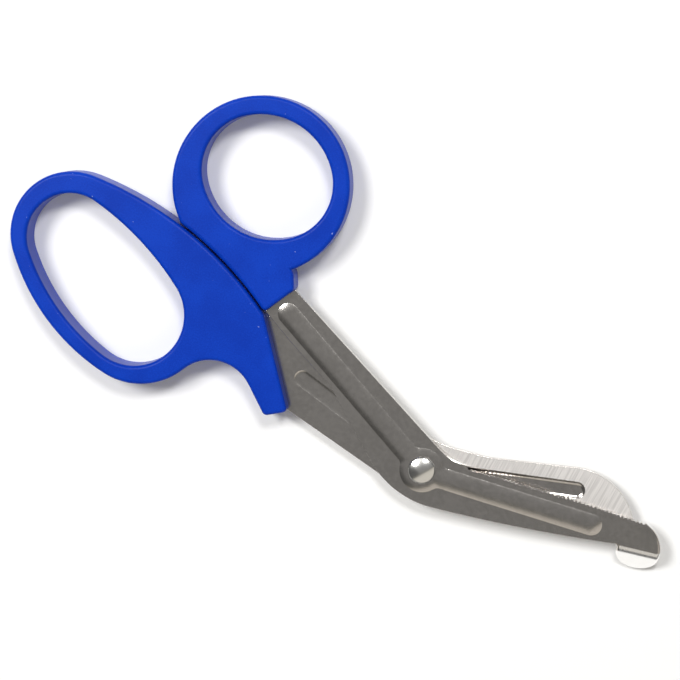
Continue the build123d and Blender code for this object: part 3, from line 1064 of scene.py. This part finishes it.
def add_world():
    """Grey room with its zones and its dark horizon, which the steel mirrors."""
    world = bpy.data.worlds.new("studio")
    world.use_nodes = True
    tree = world.node_tree
    tree.nodes.clear()
    way = add_node(tree, "ShaderNodeTexCoord").outputs["Generated"]
    colour = grey(ceiling_level)
    for zone in room_zones.values():
        reach = reach_along(tree, way, in_picture(zone["bearing"]))
        share = step_up(tree, reach, zone["starts"], zone["starts"] + zone["fade"])
        colour = blend(tree, share, colour, zone["colour"])
    height = add_node(tree, "ShaderNodeSeparateXYZ", {0: way}).outputs["Z"]
    share = step_up(tree, height, horizon_top - horizon_fade, horizon_top)
    colour = blend(tree, share, grey(horizon_level), colour)
    sky = add_node(tree, "ShaderNodeBackground", {"Color": colour})
    add_node(tree, "ShaderNodeOutputWorld", {"Surface": sky.outputs[0]})
    bpy.context.scene.world = world


def add_lamp(name, lamp):
    """Round lamp that faces the frame's origin."""
    light = bpy.data.lights.new(name, "AREA")
    light.shape = "DISK"
    light.size = lamp["size"]
    light.energy = lamp["watts"]
    way = in_picture(lamp["bearing"], lamp["lean"])
    box = bpy.data.objects.new(name, light)
    box.location = way * lamp["distance"]
    box.rotation_euler = way.to_track_quat("Z", "Y").to_euler()
    bpy.context.scene.collection.objects.link(box)


def add_floor():
    """White floor, which keeps the shadows."""
    half = floor_size / 2
    corners = [(-half, -half, 0), (half, -half, 0), (half, half, 0), (-half, half, 0)]
    mesh = bpy.data.meshes.new("floor")
    mesh.from_pydata(corners, [], [(0, 1, 2, 3)])
    floor = bpy.data.objects.new("floor", mesh)
    material, tree = new_material("white_floor")
    rays = add_node(tree, "ShaderNodeLightPath").outputs
    seen = maths(tree, "MAXIMUM", rays["Is Camera Ray"], rays["Is Transmission Ray"])
    lift = maths(tree, "MULTIPLY", seen, floor_lift)
    gleam = maths(tree, "MULTIPLY", rays["Is Glossy Ray"], floor_gleam)
    paint = add_node(tree, "ShaderNodeBsdfDiffuse", {"Color": floor_white})
    shine = add_node(tree, "ShaderNodeEmission", {"Strength": maths(tree, "ADD", lift, gleam)})
    finish_material(tree, add_node(tree, "ShaderNodeAddShader", {
        0: paint.outputs[0], 1: shine.outputs[0],
    }))
    mesh.materials.append(material)
    bpy.context.scene.collection.objects.link(floor)


# Materials. Scales are in grains to a metre, and bumps in metres. The sum of two noises goes from
# the darker to the paler colour over tone_span.
tone_span = (0.7, 1.3)
scratch_stretch = 0.03


def object_place(tree):
    """Place on a piece in metres, which moves with it."""
    return add_node(tree, "ShaderNodeTexCoord").outputs["Object"]


def noise(tree, place, scale, detail=2.0, roughness=0.5):
    """Noise from 0 to 1, whose grains are about 1 / scale metres across."""
    return add_node(tree, "ShaderNodeTexNoise", {
        "Vector": place,
        "Scale": scale,
        "Detail": detail,
        "Roughness": roughness,
    }).outputs["Fac"]


def between(tree, value, low, high):
    """Value from 0 to 1 carried over to the span from low to high."""
    span = add_node(tree, "ShaderNodeMapRange", {"Value": value, "To Min": low, "To Max": high})
    return span.outputs["Result"]


def bumped(tree, height, strength, depth):
    """Normal of a surface with fine relief, from a height of 0 to 1 that stands for depth metres."""
    bump = add_node(tree, "ShaderNodeBump", {
        "Height": height, "Strength": strength, "Distance": depth,
    })
    return bump.outputs[0]


def satin_steel():
    """Pressed sheet with a satin surface, faintly mottled and finely pitted."""
    material, tree = new_material("satin_steel")
    place = object_place(tree)
    grain = noise(tree, place, 4200.0, 3.0)
    mottle = noise(tree, place, 900.0)
    tone = step_up(tree, maths(tree, "ADD", mottle, noise(tree, place, 110.0)), *tone_span)
    shader = add_node(tree, "ShaderNodeBsdfPrincipled", {
        "Base Color": blend(tree, tone, (0.58, 0.548, 0.513, 1.0), (0.64, 0.605, 0.568, 1.0)),
        "Metallic": 1.0,
        "Roughness": between(tree, mottle, 0.13, 0.19),
        "Normal": bumped(tree, grain, 0.2, 0.00004),
    })
    finish_material(tree, shader)
    return material


def ground_steel():
    """Face ground across the blade in fine parallel scratches, which spread its gloss sideways."""
    material, tree = new_material("ground_steel")
    place = object_place(tree)
    across = in_picture(hatch_bearing + 90)
    aside = reach_along(tree, place, across)
    share = reach_along(tree, place, in_picture(hatch_bearing))
    slow = maths(tree, "MULTIPLY", share, scratch_stretch)
    lane = add_node(tree, "ShaderNodeCombineXYZ", {"X": aside, "Y": slow})
    scratch = noise(tree, lane.outputs[0], 4000.0, 0.0)
    tone = step_up(tree, scratch, 0.36, 0.64)
    tangent = add_node(tree, "ShaderNodeVectorTransform", {
        "Vector": across,
    }, vector_type="VECTOR", convert_from="OBJECT", convert_to="WORLD")
    shader = add_node(tree, "ShaderNodeBsdfPrincipled", {
        "Base Color": blend(tree, tone, (0.67, 0.648, 0.628, 1.0), (0.81, 0.785, 0.763, 1.0)),
        "Metallic": 1.0,
        "Roughness": 0.48,
        "Anisotropic": 0.85,
        "Tangent": tangent.outputs[0],
        "Normal": bumped(tree, scratch, 0.35, 0.00006),
    })
    finish_material(tree, shader)
    return material


def bevel_and_painted_foot_steel():
    """Bevels ground fine and bright. The same bright steel on the lower lever's foot is painted
    reflection of the white floor, on top of what its bend really mirrors.
    """
    material, tree = new_material("bevel_and_painted_foot_steel")
    haze = noise(tree, object_place(tree), 5200.0, 3.0, 0.6)
    shader = add_node(tree, "ShaderNodeBsdfPrincipled", {
        "Base Color": blend(tree, haze, (0.86, 0.85, 0.83, 1.0), (0.97, 0.96, 0.945, 1.0)),
        "Metallic": 1.0,
        "Roughness": between(tree, haze, 0.20, 0.34),
    })
    finish_material(tree, shader)
    return material


def blue_plastic():
    """Moulded plastic with a spark-eroded texture and a few pale flecks."""
    material, tree = new_material("blue_plastic")
    place = object_place(tree)
    grain = noise(tree, place, 2600.0)
    tone = step_up(tree, maths(tree, "ADD", grain, noise(tree, place, 90.0)), *tone_span)
    colour = blend(tree, tone, (0.001, 0.033, 0.375, 1.0), (0.002, 0.046, 0.465, 1.0))
    fleck = step_up(tree, noise(tree, place, 1500.0, 1.0), 0.80, 0.84)
    shader = add_node(tree, "ShaderNodeBsdfPrincipled", {
        "Base Color": blend(tree, fleck, colour, (0.35, 0.42, 0.72, 1.0)),
        "Roughness": between(tree, grain, 0.30, 0.40),
        "Specular IOR Level": 0.11,
        "Normal": bumped(tree, grain, 0.3, 0.00006),
    })
    finish_material(tree, shader)
    return material


def polished_rivet():
    """Polished steel with a faint haze, for the rivet and its washer."""
    material, tree = new_material("polished_rivet")
    haze = noise(tree, object_place(tree), 1500.0, 3.0)
    shader = add_node(tree, "ShaderNodeBsdfPrincipled", {
        "Base Color": (0.80, 0.785, 0.75, 1.0),
        "Metallic": 1.0,
        "Roughness": between(tree, haze, 0.15, 0.22),
    })
    finish_material(tree, shader)
    return material


def dress(node, material):
    """Gives a CAD node that is shown as it is one material."""
    piece = frame["nodes"][node]
    piece.data.materials.clear()
    piece.data.materials.append(material)


add_camera()
add_world()
add_lamp("left_lamp", left_lamp)
add_lamp("top_lamp", top_lamp)
add_floor()
lever_finishes = [satin_steel(), ground_steel(), bevel_and_painted_foot_steel()]
plastic = blue_plastic()
polished = polished_rivet()
for node in ("thumb_handle", "finger_handle"):
    dress(node, plastic)
for make_turned, node in ((make_rivet, "pivot_rivet"), (make_washer, "rivet_washer")):
    turned = make_turned(polished)
    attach(turned, "lower_lever")
    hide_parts(node)
levers = {"lower_lever": (lower_lever, "lower_blade"), "upper_lever": (upper_lever, "upper_blade")}
for body, (make_lever, node) in levers.items():
    lever = make_lever(lever_finishes)
    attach(lever, body)
    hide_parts(node)
bpy.context.scene.view_settings.view_transform = "Standard"
